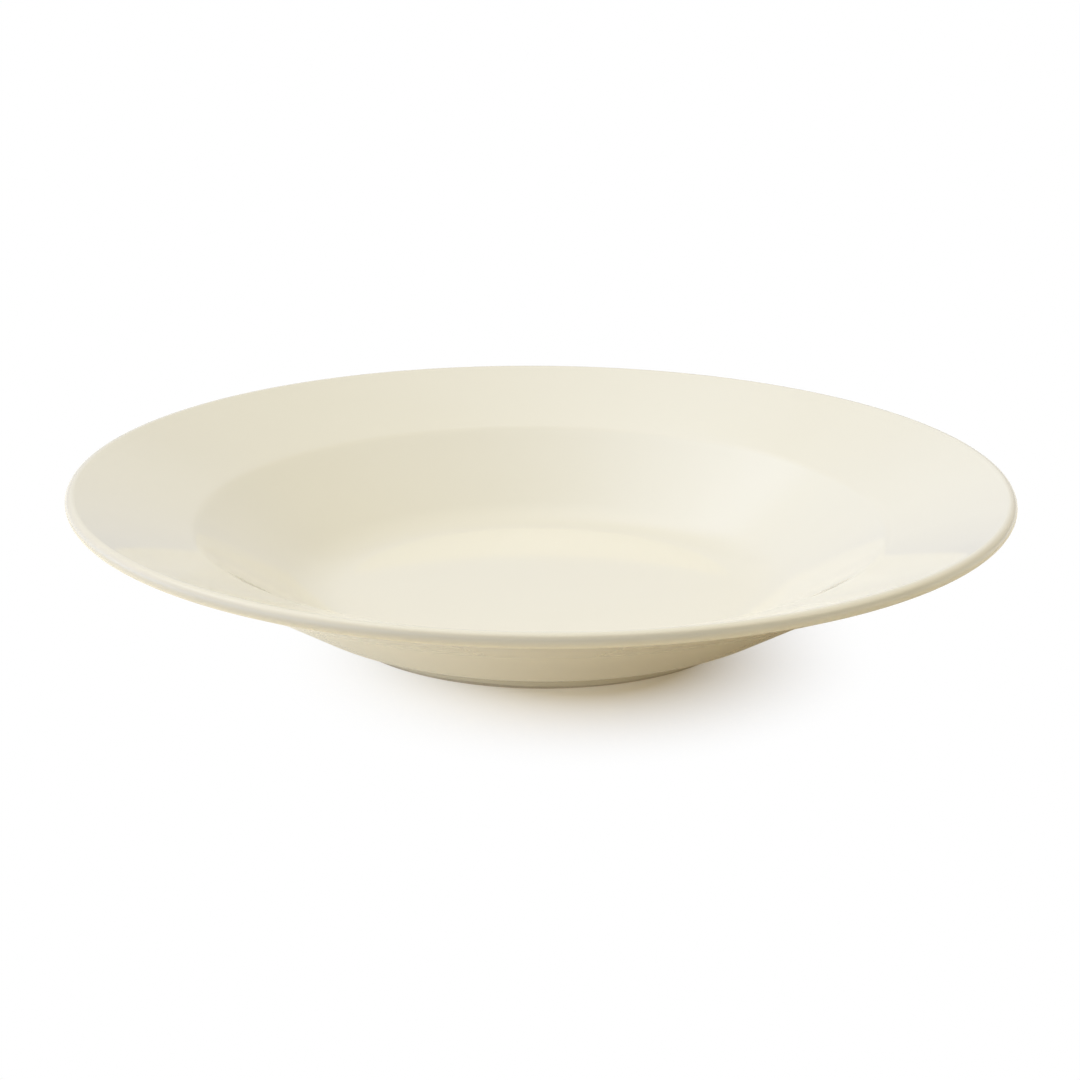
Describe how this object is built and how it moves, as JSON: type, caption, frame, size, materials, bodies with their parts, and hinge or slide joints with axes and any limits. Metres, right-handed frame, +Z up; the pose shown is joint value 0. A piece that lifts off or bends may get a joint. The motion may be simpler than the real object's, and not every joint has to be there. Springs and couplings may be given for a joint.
{
  "type": "pasta bowl",
  "caption": "Wide, low serving bowl with a sloping flat rim, rounded lip, conical well, flat floor and low foot ring, in glossy ivory glazed china.",
  "frame": {"origin": "on the table under the middle of the foot ring", "axes": "+Z up along the bowl's axis of turning, X and Y level"},
  "size_m": [0.305, 0.305, 0.0482],
  "materials": {
    "fired_clay": "matt, unglazed where the foot ring meets the table",
    "ivory_glaze": "smooth, high gloss, opaque ivory",
    "foot_glaze": "gloss, a little thinner than the outside coat"
  },
  "bodies": {
    "root": {"clay_body": "fired_clay", "glaze_coat": "ivory_glaze", "base_glaze": "foot_glaze"}
  },
  "joints": []
}
